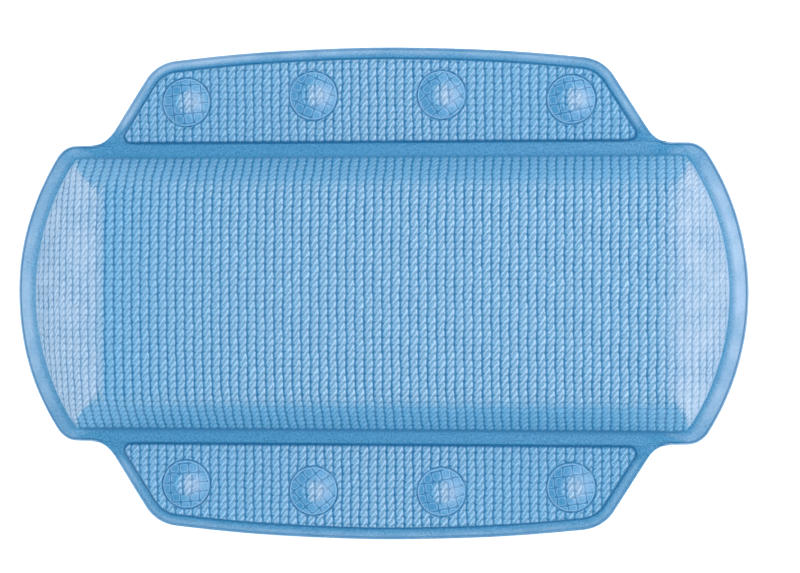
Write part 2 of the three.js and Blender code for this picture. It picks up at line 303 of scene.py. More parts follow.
def flap_panel(bottom_count, side_count):
    centre = beside_flap(PANEL_LOW + PANEL_CORNER, -FLAP_BAND - PANEL_CORNER)
    foot = arc(centre, PANEL_CORNER, -math.pi / 2, FLAP_SLANT, 20)
    split = len(foot) // 2
    low_half = np.concatenate([[[0, PANEL_LOW]], foot[:split + 1]])
    return flap_sides(low_half, foot[split:], FLAP_BAND, bottom_count, side_count)


def closed_loop(sides):
    return np.concatenate([side[:-1] for side in sides])


def patch(sides):
    """A grid of points that fills the space inside four lines (a Coons patch)."""
    bottom, right, top, left = sides[0], sides[1], sides[2][::-1], sides[3][::-1]
    u = np.linspace(0, 1, len(bottom))[None, :, None]
    v = np.linspace(0, 1, len(right))[:, None, None]
    corners = ((1 - u) * (1 - v) * bottom[0] + u * (1 - v) * bottom[-1]
               + (1 - u) * v * top[0] + u * v * top[-1])
    return (1 - v) * bottom[None] + v * top[None] + (1 - u) * left[:, None] + u * right[:, None] - corners


# Form of the pad


def pad_edge(y, inset=0.0):
    return SIDE_X + np.sqrt((SIDE_RADIUS - SIDE_BAND - inset) ** 2 - y**2)


def pad_faces(x, y, crest, crown_radius, slope, blend, inset):
    """Heights over the weld of the crown with its flanks, and of the rounded facet at the nearer end."""
    crown = crest - y**2 / (2 * crown_radius)
    loaf = soft_min(crown, (PAD_HALF - inset - np.abs(y)) * math.tan(slope), blend)
    ridge = np.where(x < 0, LEFT_RIDGE, RIGHT_RIDGE) - inset
    edge = pad_edge(y, inset)
    t = (edge - np.abs(x)) / (edge - ridge)
    share = np.where(t > 1, 1 + (t - 1) * (1 - FACET_BULGE), t * (1 + FACET_BULGE * (1 - t)))
    return loaf, crown * share


def pad_height(x, y, *form):
    """Height of the pad over its weld. It is below zero outside the pad's plan."""
    return soft_min(*pad_faces(x, y, *form), np.where(x < 0, LEFT_BLEND, RIGHT_BLEND))


def front_height(x, y, inset=0.0):
    return pad_height(x, y, CREST - inset, CROWN_RADIUS, FLANK_SLOPE, FLANK_BLEND, inset)


def back_height(x, y, inset=0.0, depth=0.0):
    swell = pad_height(x, y, BACK_LOW + BACK_CUT - depth, 1e9, BACK_SLOPE, BACK_BLEND, inset)
    return np.clip(swell, 0, BACK_LOW - depth)


def foot_rounded(height):
    return np.where(height > FOOT, height, np.clip(height + FOOT, 0, None) ** 2 / (4 * FOOT))


def pad_margin(x, y):
    """How far inside the pad's plan points are, along X or Y."""
    return np.minimum(PAD_HALF - np.abs(y), pad_edge(y) - np.abs(x))


def lay(x, y):
    """How the flat welds round the pad lie: the ends hang down, and the sheets pucker at the shoulders."""
    out = np.clip((np.abs(x) - pad_edge(y)) / SIDE_BAND, 0, 1.2)
    ripple = 0.35 * out * np.sin(y / 8.5 + np.sign(x) + 0.4)
    free = smooth((SHOULDER_Y - np.abs(y)) / 2.5)
    at = np.abs(x) - 0.8 * np.sign(x) * np.sign(y)
    pucker = (1.1 * bell(np.hypot(at - 126, np.abs(y) - 61.5), 4.5)
              - bell(np.hypot(at - 136, np.abs(y) - 60), 4.0))
    return pucker * free + ripple - SIDE_DROOP * out**1.4


def slack(x, y):
    """Low swells in the foam, and the pinched fold at the left, so that no face is perfectly even."""
    swells = 0.18 * np.sin(x / 17 + 0.6) * np.sin(y / 13 + 1.1) + 0.12 * np.sin(x / 7.3 + y / 11 + 2.0)
    pinch = 0.45 * bell(x + 118.5, 2.0) - 0.40 * bell(x + 110, 6.0)
    return swells + pinch * smooth((52 - np.abs(y)) / 10)


# Emboss


def along_profile(height, end):
    """Points from 0 to end along a profile, and the way along its surface to each."""
    at = np.linspace(0, end, 2001)
    way = np.concatenate([[0], np.cumsum(np.hypot(np.diff(at), np.diff(height(at))))])
    return at, way


PROFILE_X = along_profile(lambda x: front_height(x, np.zeros_like(x)), float(pad_edge(0.0)))
PROFILE_Y = along_profile(lambda y: front_height(np.zeros_like(y), y), PAD_HALF)


def cell_x(x):
    return np.sign(x) * np.interp(np.abs(x), *PROFILE_X) / COLUMN


def cell_y(y):
    return np.sign(y) * np.interp(np.abs(y), *PROFILE_Y) / ROW


def wandering(column, row):
    """Place in the emboss, counted in cells, whose grooves never run quite straight."""
    return column + 0.035 * np.sin(0.9 * row + 0.8 * column) + 0.03 * np.sin(2.1 * row - 1.7 * column), row


def pad_cells(x, y):
    return wandering(cell_x(x), cell_y(y))


def flap_cells(x, y, turn):
    return wandering(turn * x / COLUMN, turn * y / ROW)


def waver(column, row):
    """The columns of the emboss are never quite level with each other."""
    number = np.floor(column)
    return SHIFT * np.sin(SHIFT_STEP * number) + SWAY * np.sin(SWAY_RATE * row + SWAY_STEP * number)


def knit(column, row):
    """Height of the emboss at a column and row counted in cells: ropes of pillows, with pits between."""
    u = column - np.floor(column)
    v = row + waver(column, row)
    level = np.abs(v - np.round(v))
    side = np.minimum(u, GROOVE_SKEW * (1 - u))
    rope = 1 - bell(side, 0.20)
    dome = 1 - (2 * u - 1.1) ** 2
    crease = bell(level, 0.11)
    strand = v - STRAND_RISE * u - STRAND_CURVE * u**2
    strand = bell(strand - np.floor(strand) - 0.5, 0.2)
    return (GROOVE_DEPTH * (0.75 * rope + 0.25 * dome) - PIT_DEPTH * bell(side, 0.26) * crease
            + (STRAND_HEIGHT * strand - CREASE_DEPTH * crease) * smooth(side / 0.25))


def emboss_margin(x, y):
    """How far inside the pad's emboss points are. The ends of its columns and rows scallop its edge."""
    ends = PAD_HALF - np.abs(y) + 0.45 * np.cos(2 * math.pi * (cell_x(x) - 0.55))
    return np.minimum(ends, pad_edge(y) - np.abs(x) + 0.25 * np.cos(2 * math.pi * (cell_y(y) - 0.5)))


# Meshes


def perimeter(rows, columns):
    """Indices of a grid's border, counterclockwise from its lower left corner."""
    at = np.arange(rows * columns).reshape(rows, columns)
    return np.concatenate([at[0, :-1], at[:-1, -1], at[-1, :0:-1], at[:0:-1, 0]])


def loop_places(rows, columns):
    """A place from 0 to 4 for each point of that border, a whole number at each corner."""
    counts = [columns - 1, rows - 1, columns - 1, rows - 1]
    return np.concatenate([side + np.arange(n) / n for side, n in enumerate(counts)])


def stitched(upper, upper_at, lower, lower_at):
    """Triangles between two closed loops of points, which may differ in number."""
    upper, lower = [*upper, upper[0]], [*lower, lower[0]]
    upper_at, lower_at = [*upper_at, 4.0], [*lower_at, 4.0]
    faces, i, j = [], 0, 0
    while i < len(upper) - 1 or j < len(lower) - 1:
        if j == len(lower) - 1 or (i < len(upper) - 1 and upper_at[i + 1] <= lower_at[j + 1]):
            faces.append((lower[j], upper[i + 1], upper[i]))
            i += 1
        else:
            faces.append((lower[j], lower[j + 1], upper[i]))
            j += 1
    return np.array(faces)


def skin(grid, loops, start, up):
    """Points and quads of a grid with loops round it, and the indices of the outermost loop."""
    rows, columns = grid.shape[:2]
    at = start + np.arange(rows * columns).reshape(rows, columns)
    quads = [np.stack([at[:-1, :-1], at[:-1, 1:], at[1:, 1:], at[1:, :-1]], -1).reshape(-1, 4)]
    points = [grid.reshape(-1, 2)]
    inner = start + perimeter(rows, columns)
    count = start + rows * columns
    for loop in loops:
        outer = count + np.arange(len(loop))
        quads.append(np.stack([inner, outer, np.roll(outer, -1), np.roll(inner, -1)], -1))
        points.append(loop)
        inner, count = outer, count + len(loop)
    quads = np.concatenate(quads)
    return np.concatenate(points), quads if up else quads[:, ::-1], inner


def add_map(mesh, points, corners, owner):
    """A flat map of a sheet for its textures: the upper side in the larger part, the lower side below it."""
    low, size = points.min(0), np.ptp(points, axis=0)
    place = (points[corners, :2] - low[:2]) / size[:2]
    up = np.array([p.normal.z > 0 for p in mesh.polygons])[owner]
    place[:, 0] = 0.01 + 0.98 * place[:, 0]
    place[:, 1] = np.where(up, 0.40 + 0.59 * place[:, 1], 0.01 + 0.37 * place[:, 1])
    mesh.uv_layers.new(name="OFBake").data.foreach_set("uv", place.astype(np.float32).ravel())


def make_object(name, points, faces, material, fields=None, flat_map=True):
    """A smooth mesh object. points are in millimetres, and fields are values kept at each point."""
    corners = np.concatenate([part.ravel() for part in faces])
    sizes = np.concatenate([np.full(len(part), part.shape[1]) for part in faces])
    mesh = bpy.data.meshes.new(name)
    mesh.vertices.add(len(points))
    mesh.vertices.foreach_set("co", (points * METRES).astype(np.float32).ravel())
    mesh.loops.add(len(corners))
    mesh.loops.foreach_set("vertex_index", corners.astype(np.int32))
    mesh.polygons.add(len(sizes))
    mesh.polygons.foreach_set("loop_start", (np.cumsum(sizes) - sizes).astype(np.int32))
    mesh.update(calc_edges=True)
    if flat_map:
        add_map(mesh, points, corners, np.repeat(np.arange(len(sizes)), sizes))
    for field, values in (fields or {}).items():
        kind, key = ("FLOAT_VECTOR", "vector") if np.ndim(values) == 2 else ("FLOAT", "value")
        mesh.attributes.new(field, kind, "POINT").data.foreach_set(key, values.astype(np.float32).ravel())
    mesh.set_sharp_from_angle(angle=math.radians(65))
    mesh.materials.append(material)
    obj = bpy.data.objects.new(name, mesh)
    bpy.context.scene.collection.objects.link(obj)
    return obj


def loops_between(inner, outer, from_inner, shares, from_outer):
    """Loops from one loop to another: near the first, at shares of the way, and near the second."""
    way = outer - inner
    width = np.linalg.norm(way, axis=1, keepdims=True)
    share = [np.minimum(d / width, 0.3) for d in from_inner]
    share += [np.full_like(width, s) for s in shares]
    share += [1 - np.minimum(d / width, 0.45) for d in from_outer]
    return [inner + way * s for s in share]


def edge_form(distance):
    """The fine groove inside the sheets' edge, the lip outside it, and the rounded edge."""
    groove = -0.35 * bell(distance - LIP_GROOVE, 0.25)
    lip = 0.10 * smooth(1 - distance / 0.6)
    rounding = -0.35 * (1 - np.sqrt(1 - (1 - np.clip(distance / 0.35, 0, 1)) ** 2))
    return groove + lip + rounding


def punched(points, quads, centre, radius):
    """The quads left round a hole, its border moved onto the circle, and the border's places from 0 to 4."""
    way = points[:, :2] - centre
    apart = np.hypot(*way.T)
    cut = (apart < radius)[quads].any(1)
    border = np.intersect1d(quads[cut], quads[~cut])
    points[border, :2] = centre + radius * way[border] / apart[border, None]
    angle = np.arctan2(way[border, 1], way[border, 0])
    order = np.argsort(angle)
    return quads[~cut], border[order], 2 + 2 * angle[order] / math.pi


def closed_sheet(name, upper, lower, material, fields=None, turn=1, holes=()):
    """A sheet from two skins, each a grid, the loops round it and its heights.

    turn is -1 to turn the sheet half round. holes are centres and radii of round holes through both skins.
    """
    points, faces, rims = [], [], []
    for grid, loops, heights in (upper, lower):
        start = sum(len(p) for p in points)
        plan, quads, rim = skin(grid, loops, start, not points)
        points.append(np.column_stack([plan, heights(plan)]))
        faces.append(quads)
        rims += [rim, loop_places(*grid.shape[:2])]
    values = {}
    for field, value in (fields(points[0][:, :2]) if fields else {}).items():
        values[field] = np.concatenate([value, np.zeros((len(points[1]),) + value.shape[1:])])
    points = np.concatenate(points)
    faces.append(stitched(*rims))
    for centre, radius in holes:
        faces[0], *high = punched(points, faces[0], centre, radius)
        faces[1], *low = punched(points, faces[1], centre, radius)
        faces.append(stitched(*high, *low)[:, ::-1])
    kept = np.unique(np.concatenate([part.ravel() for part in faces]))
    faces = [np.searchsorted(kept, part) for part in faces]
    values = {field: value[kept] for field, value in values.items()}
    return make_object(name, points[kept] * [turn, turn, 1], faces, material, values)


# Covers of the pad


def pad_grid(column_step, row_step, inset=0.0):
    """Points over the plan of the pad: columns straight between the ridges, and bowed at the round ends."""
    def even(profile, step):
        at, way = profile
        half = np.interp(np.linspace(0, way[-1], max(2, round(way[-1] / step)) + 1), way, at)
        return np.concatenate([-half[:0:-1], half])

    x = even(PROFILE_X, column_step)[None, :]
    y = even(PROFILE_Y, row_step)[:, None] * (PAD_HALF - inset) / PAD_HALF
    straight = LEFT_RIDGE - 4
    share = (np.abs(x) - straight) / (pad_edge(0.0) - straight)
    across = np.where(share > 0, np.sign(x) * (straight + share * (pad_edge(y, inset) - straight)), x)
    return np.stack([across, np.broadcast_to(y, across.shape)], -1)


def grid_border(grid):
    return grid.reshape(-1, 2)[perimeter(*grid.shape[:2])]


def body_skin(column_step, row_step, inset, from_inner, shares, from_outer):
    """Grid over the pad, and loops from it to the edge of the pad's part of the sheets."""
    grid = pad_grid(column_step, row_step, inset)
    edge = closed_loop(body_sides(grid.shape[1] - 1, grid.shape[0] - 1))
    return grid, loops_between(grid_border(grid), edge, from_inner, shares, from_outer)


def pad_top(points):
    x, y = points.T
    inside = pad_margin(x, y)
    form = foot_rounded(front_height(x, y))
    emboss = knit(*pad_cells(x, y)) * smooth((emboss_margin(x, y) - 0.2) / 1.0)
    edge = edge_form(edge_distance(points, inside < WELD_START))
    return FRONT_HIGH + form + emboss + edge + lay(x, y) + slack(x, y) * smooth(inside / 25)


def pad_under(points):
    x, y = points.T
    hollow = np.maximum(front_height(x, y, SHEET), 0) + FRONT_HIGH - FRONT_LOW
    return FRONT_LOW + np.where(pad_margin(x, y) > SHEET, hollow, 0) + lay(x, y)


def pad_fields(points):
    x, y = points.T
    left = x < 0
    inside = pad_margin(x, y)
    away = edge_distance(points, inside < WELD_START)
    # painted shade in the edge groove and along the foot of the pad, twice as strong at the bottom
    line = bell(away - LIP_GROOVE, LIP_LINE)
    foot = bell(PAD_HALF - np.abs(y) + 0.1, 0.75) * smooth((pad_edge(y) - np.abs(x)) / 4)
    foot *= np.where(y < 0, 1.0, 0.5)
    loaf, facet = pad_faces(x, y, CREST, CROWN_RADIUS, FLANK_SLOPE, FLANK_BLEND, 0.0)
    # painted shade: on the flanks, more at the bottom, and on the columns beside the left fold
    shade = np.where(y < 0, 0.75, 0.55) * smooth((CREST - 3 - loaf) / 5) * smooth((facet - loaf + 2) / 4)
    shade = np.maximum(shade, 0.62 * np.exp(-np.clip(x + 117.5, 0, None) / 42) * smooth((x + 119) / 1.5))
    # painted sheen on the end facets, stronger and wider on the right
    facet = smooth((loaf - facet + np.where(left, 0.9, 2.5)) / np.where(left, 1.2, 6))
    facet *= smooth((loaf - 1) / 5) * np.where(left, 1.0, 1.5)
    # painted sheen on the side rims, stronger on the right, and on the rounded edge
    rim = smooth((np.abs(x) - pad_edge(y) - 0.8) / 2.5) * (0.4 + 0.6 * smooth((66 - np.abs(y)) / 25))
    rim = np.maximum(rim * np.where(left, 0.6, 0.9), smooth((0.75 - away) / 0.3))
    return {
        "knit": np.stack([*pad_cells(x, y), smooth((emboss_margin(x, y) - 0.2) / 0.8)], 1),
        "tile": np.full((len(points), 3), NO_TILE),
        "seam": np.maximum(line, foot),
        "painted_light": np.where(inside > 0, facet - shade * (1 - np.clip(facet, 0, 1)), rim),
    }


def pad_cover(material):
    fine = body_skin(COLUMN / COLUMN_SAMPLES, ROW / ROW_SAMPLES, 0, [0.3, 0.8, 1.4], [0.42], EDGE_LOOPS)
    coarse = body_skin(COLUMN, ROW, SHEET, [0.6], [0.5, 0.75], [0.0])
    return closed_sheet("pad_cover", (*fine, pad_top), (*coarse, pad_under), material, pad_fields)


def pad_back(material):
    fine = body_skin(2.0, 1.6, 0, [0.4, 1.0], [0.5], EDGE_LOOPS[2:])
    coarse = body_skin(4.0, 3.2, BACK_SHEET, [0.6], [0.5, 0.75], [0.0])

    def upper(points):
        x, y = points.T
        form = back_height(x, y, BACK_SHEET, BACK_SHEET) + BACK_SHEET
        return BACK_HIGH - np.where(pad_margin(x, y) > BACK_SHEET, form, 0) + lay(x, y)

    def lower(points):
        x, y = points.T
        inside = pad_margin(x, y)
        seam = 0.25 * bell(inside, 0.5)
        edge = edge_form(edge_distance(points, inside < WELD_START))
        return BACK_LOW - back_height(x, y) + seam - BACK_EDGE * edge + lay(x, y)

    return closed_sheet("pad_back", (*coarse, upper), (*fine, lower), material)


# Flaps, made for the top and turned half round for the bottom


def nearest_cup(points):
    """Distance to the nearest cup's axis, the cup's number, and the way from its axis."""
    way = points[:, None, :] - np.stack([CUP_X, CUP_Y], 1)[None]
    apart = np.linalg.norm(way, axis=2)
    number = apart.argmin(1)
    pick = np.arange(len(points))
    return apart[pick, number], number, way[pick, number]


def tile_places(points, turns):
    """Place in the square tiles pressed into each disc, counted in tiles from the disc's middle."""
    _, number, way = nearest_cup(points)
    angle = np.radians(np.array(turns))[number]
    u = way[:, 0] * np.cos(angle) + way[:, 1] * np.sin(angle)
    v = -way[:, 0] * np.sin(angle) + way[:, 1] * np.cos(angle)
    return np.stack([u, v], 1) / TILE


def disc_masks(radius):
    """How much of a flap's face is emboss and how much is tiles."""
    tiles = smooth((radius - DISC_CORE) / 0.6) * smooth((DISC_RADIUS - radius) / 0.5)
    emboss = 1 - smooth((radius - DISC_CORE + 0.3) / 0.8) * smooth((DISC_RADIUS + 0.9 - radius) / 0.6)
    return emboss, tiles


class FlapSkin:
    """A grid over a flap's panel with loops out to its edge, and how its points lie."""

    def __init__(self, long, short, from_inner, from_outer):
        panel = flap_panel(long, short)
        edge = closed_loop(flap_edge(long, short))
        self.grid = patch(panel)
        self.loops = loops_between(grid_border(self.grid), edge, from_inner, [0.5], from_outer)
        self.panel_count = self.grid.shape[0] * self.grid.shape[1]
        self.border = resampled(np.concatenate([closed_loop(panel), panel[0][:1]]), 1400)

    def inside(self, points):
        """How far inside the panel points are. It is below zero outside."""
        panel, band = points[:self.panel_count], points[self.panel_count:]
        return np.concatenate([distance_to(panel, self.border, PANEL_INSIDE),
                               -distance_to(band, self.border, PANEL_OUTSIDE)])

    def lie(self, points, inside):
        """The flap's outer edges hang down, and it swells a little between the cups."""
        x, y = points.T
        out = np.clip(-inside / FLAP_BAND, 0, 1.2) * smooth((y - FOLD_Y - 1.5) / 5)
        swell = 0.35 * (1 + np.cos(2 * math.pi * x / CUP_PITCH)) * smooth((y - FOLD_Y - 4) / 20)
        return swell - FLAP_DROOP * out**1.4

    def edge(self, points):
        """Distance from the sheets' edge, which a flap has only outside its fold."""
        away = edge_distance(points, np.arange(len(points)) >= self.panel_count)
        return np.where(points[:, 1] > SHOULDER_Y - 1, away, EDGE_REACH)


def flap_cover(side, turn, material):
    fine = FlapSkin(520, 78, [0.2, 0.5, 0.9], EDGE_LOOPS)
    coarse = FlapSkin(320, 50, [], [0.0])
    turns = TILE_TURNS[side]

    def top(points):
        x, y = points.T
        inside = fine.inside(points)
        radius, _, _ = nearest_cup(points)
        emboss, tiles = disc_masks(radius)
        places = tile_places(points, turns) + TILE_START
        from_middle = (np.abs(places - np.floor(places) - 0.5) ** TILE_POWER).sum(1) ** (1 / TILE_POWER)
        joint = (0.5 - from_middle) * TILE
        swell = DISC_SWELL * np.clip(1 - (radius / (DISC_RADIUS + 0.6)) ** 2, 0, 1)
        rim = 0.25 * bell(radius - DISC_RADIUS + 0.45, 0.40) - 0.30 * bell(radius - DISC_RADIUS - 0.35, 0.38)
        face = (PANEL_RISE + knit(*flap_cells(x, y, turn)) * emboss
                + (0.45 - 0.32 * bell(joint, 0.40)) * tiles + swell + rim)
        groove = -0.45 * bell(inside + 0.15, 0.42)
        edge = edge_form(fine.edge(points))
        return FRONT_HIGH + smooth((inside + 0.1) / 1.1) * face + groove + edge + fine.lie(points, inside)

    def under(points):
        radius, _, _ = nearest_cup(points)
        pocket = 1.35 * smooth((HEAD_RADIUS + 1.0 - radius) / 1.4)
        return FRONT_LOW + pocket + coarse.lie(points, coarse.inside(points))

    def fields(points):
        x, y = points.T
        inside = fine.inside(points)
        panel = smooth(inside / 0.8)
        radius, _, way = nearest_cup(points)
        emboss, tiles = disc_masks(radius)
        disc = smooth((DISC_RADIUS - radius) / 1.5)
        # painted highlight right of each disc's middle, and painted shade on its other side
        painted_disc_highlight = bell(np.hypot(turn * way[:, 0] - 2.2, 1.1 * way[:, 1]), 4.8) * disc
        painted_disc_shade = smooth((1.5 - turn * way[:, 0]) / 6) * disc
        outer = smooth(-(inside + 0.8) / 2) * smooth((y - FOLD_Y - 2) / 8)
        away = fine.edge(points)
        line = bell(away - LIP_GROOVE, LIP_LINE)
        # painted sheen on the flaps' outer rims, more towards the left on the top flap
        painted_rim_light = 0.15 + 0.30 * smooth((20 - x) / 80) if side == "top" else 0.0
        rim = (0.4 + painted_rim_light) * outer * (1 - 0.4 * smooth((0.75 - away) / 0.3))
        return {
            "knit": np.stack([*flap_cells(x, y, turn), emboss * panel], 1),
            "tile": np.column_stack([tile_places(points, turns), tiles * panel]),
            # painted shade in the edge groove and in the groove round each panel
            "seam": np.maximum(0.5 * line, bell(inside + 0.1, 0.5)),
            # the flap panels away from the discs get painted shade, less in the middle
            "painted_light": rim + 1.2 * painted_disc_highlight - 0.9 * painted_disc_shade - (0.4 - 0.3 * bell(x, 45)) * panel * (1 - disc),
        }

    return closed_sheet(f"{side}_flap_cover",
                        (fine.grid, fine.loops, top), (coarse.grid, coarse.loops, under),
                        material, fields, turn)


def flap_back(side, turn, material):
    fine = FlapSkin(260, 44, [0.4, 0.9], EDGE_LOOPS[2:])
    coarse = FlapSkin(200, 34, [], [0.0])
    holes = [(centre, NECK_HOLE) for centre in zip(CUP_X, CUP_Y)]

    def upper(points):
        return BACK_HIGH + coarse.lie(points, coarse.inside(points))

    def lower(points):
        inside = fine.inside(points)
        radius, _, _ = nearest_cup(points)
        weld = 0.22 * bell(inside, 0.45) + 0.25 * bell(radius - DISC_RADIUS - 0.3, 0.5)
        return BACK_LOW + weld - BACK_EDGE * edge_form(fine.edge(points)) + fine.lie(points, inside)

    return closed_sheet(f"{side}_flap_back",
                        (coarse.grid, coarse.loops, upper), (fine.grid, fine.loops, lower),
                        material, turn=turn, holes=holes)


# Foam and cups


def foam_block(material):
    inset = SHEET + CLEARANCE
    grid = pad_grid(3.0, 2.4, inset)

    def top(points):
        x, y = points.T
        return FRONT_HIGH + np.maximum(front_height(x, y, inset), 0)

    def low(points):
        x, y = points.T
        return BACK_LOW - back_height(x, y, inset, BACK_SHEET + CLEARANCE)

    return closed_sheet("foam_block", (grid, [], top), (grid, [], low), material)


def cup_profile():
    """Outline of a cup from the top of its head round to the roof of its hollow, as radius and height."""
    out = np.linspace(0, 1, 22)[1:]
    outside = np.stack([BELL_TOP_RADIUS + (LIP_RADIUS - BELL_TOP_RADIUS) * out,
                        BELL_TOP - BELL_DROP * out**1.32], 1)
    back = np.linspace(1, 0, 16)
    hollow = np.stack([HOLLOW_RADIUS * back, HOLLOW_HEIGHT * (1 - back**2.1)], 1)
    head = [[0, HEAD_TOP], [HEAD_RADIUS - 0.8, HEAD_TOP], [HEAD_RADIUS - 0.25, HEAD_TOP - 0.1],
            [HEAD_RADIUS, HEAD_TOP - 0.35], [HEAD_RADIUS, HEAD_LOW + 0.35],
            [HEAD_RADIUS - 0.25, HEAD_LOW + 0.08], [HEAD_RADIUS - 0.7, HEAD_LOW]]
    neck = [[NECK_RADIUS + 0.7, HEAD_LOW], [NECK_RADIUS + 0.2, HEAD_LOW - 0.15],
            [NECK_RADIUS, HEAD_LOW - 0.5], [NECK_RADIUS, HEAD_LOW - 1.0],
            [NECK_RADIUS + 0.15, BELL_TOP + 0.2]]
    lip = [[LIP_RADIUS, 0.28], [LIP_RADIUS - 0.1, 0.08], [LIP_RADIUS - 0.4, 0.0], [LIP_RADIUS - 0.9, 0.0]]
    return np.concatenate([head, neck, outside, lip, hollow])


def cup(name, x, y, material):
    segments = 64
    profile = cup_profile()
    angle = np.linspace(0, 2 * math.pi, segments, endpoint=False)
    rings = profile[1:-1]
    points = [np.array([[0, 0, profile[0, 1]], [0, 0, profile[-1, 1]]])]
    points += [np.column_stack([r * np.cos(angle), r * np.sin(angle), np.full(segments, z)])
               for r, z in rings]
    at = 2 + np.arange(len(rings) * segments).reshape(len(rings), segments)
    after = np.roll(at, -1, axis=1)
    walls = np.stack([at[:-1], at[1:], after[1:], after[:-1]], -1).reshape(-1, 4)
    caps = np.concatenate([np.stack([np.zeros(segments, int), at[0], after[0]], 1),
                           np.stack([np.ones(segments, int), after[-1], at[-1]], 1)])
    return make_object(name, np.concatenate(points) + [x, y, 0], [walls, caps], material, flat_map=False)


# Materials


class Nodes:
    """Short ways to add shader nodes to one material."""

    def __init__(self, name):
        self.material = bpy.data.materials.new(name)
        self.material.use_nodes = True
        self.tree = self.material.node_tree
        self.shader = self.tree.nodes["Principled BSDF"]

    def put(self, socket, value):
        if isinstance(value, bpy.types.NodeSocket):
            self.tree.links.new(value, socket)
        else:
            socket.default_value = value

    def math(self, operation, *values):
        node = self.tree.nodes.new("ShaderNodeMath")
        node.operation = operation
        for socket, value in zip(node.inputs, values):
            self.put(socket, value)
        return node.outputs[0]

    def times(self, a, b):
        return self.math("MULTIPLY", a, b)

    def plus(self, a, b):
        return self.math("ADD", a, b)

    def minus(self, a, b):
        return self.math("SUBTRACT", a, b)

    def most(self, first, *others):
        for other in others:
            first = self.math("MAXIMUM", first, other)
        return first

    def attribute(self, name, output="Vector"):
        node = self.tree.nodes.new("ShaderNodeAttribute")
        node.attribute_name = name
        if output == "Fac":
            return node.outputs["Fac"]
        split = self.tree.nodes.new("ShaderNodeSeparateXYZ")
        self.put(split.inputs[0], node.outputs["Vector"])
        return split.outputs

    def noise(self, scale, detail=2.0, roughness=0.5):
        node = self.tree.nodes.new("ShaderNodeTexNoise")
        node.inputs["Scale"].default_value = scale
        node.inputs["Detail"].default_value = detail
        node.inputs["Roughness"].default_value = roughness
        self.put(node.inputs["Vector"], self.tree.nodes.new("ShaderNodeTexCoord").outputs["Object"])
        return node.outputs["Fac"]

    def span(self, value, low, high, to_low, to_high):
        node = self.tree.nodes.new("ShaderNodeMapRange")
        for socket, number in zip(node.inputs, (value, low, high, to_low, to_high)):
            self.put(socket, number)
        return node.outputs[0]

    def line(self, value, place, core, reach):
        """1 within core of a place, and 0 beyond reach of it."""
        return self.span(self.math("ABSOLUTE", self.minus(value, place)), core, reach, 1.0, 0.0)

    def mix(self, share, a, b):
        node = self.tree.nodes.new("ShaderNodeMix")
        node.data_type = "RGBA"
        self.put(node.inputs["Factor"], share)
        for socket, value in zip([s for s in node.inputs if s.type == "RGBA"], (a, b)):
            self.put(socket, value)
        return next(s for s in node.outputs if s.type == "RGBA")

    def clouded(self, noise, a, b):
        return self.mix(self.span(noise, 0.3, 0.7, 0.0, 1.0), a, b)

    def bump(self, height, distance):
        node = self.tree.nodes.new("ShaderNodeBump")
        node.inputs["Distance"].default_value = distance
        self.put(node.inputs["Height"], height)
        return node.outputs["Normal"]

    def set(self, **values):
        for name, value in values.items():
            self.put(self.shader.inputs[name.replace("_", " ")], value)


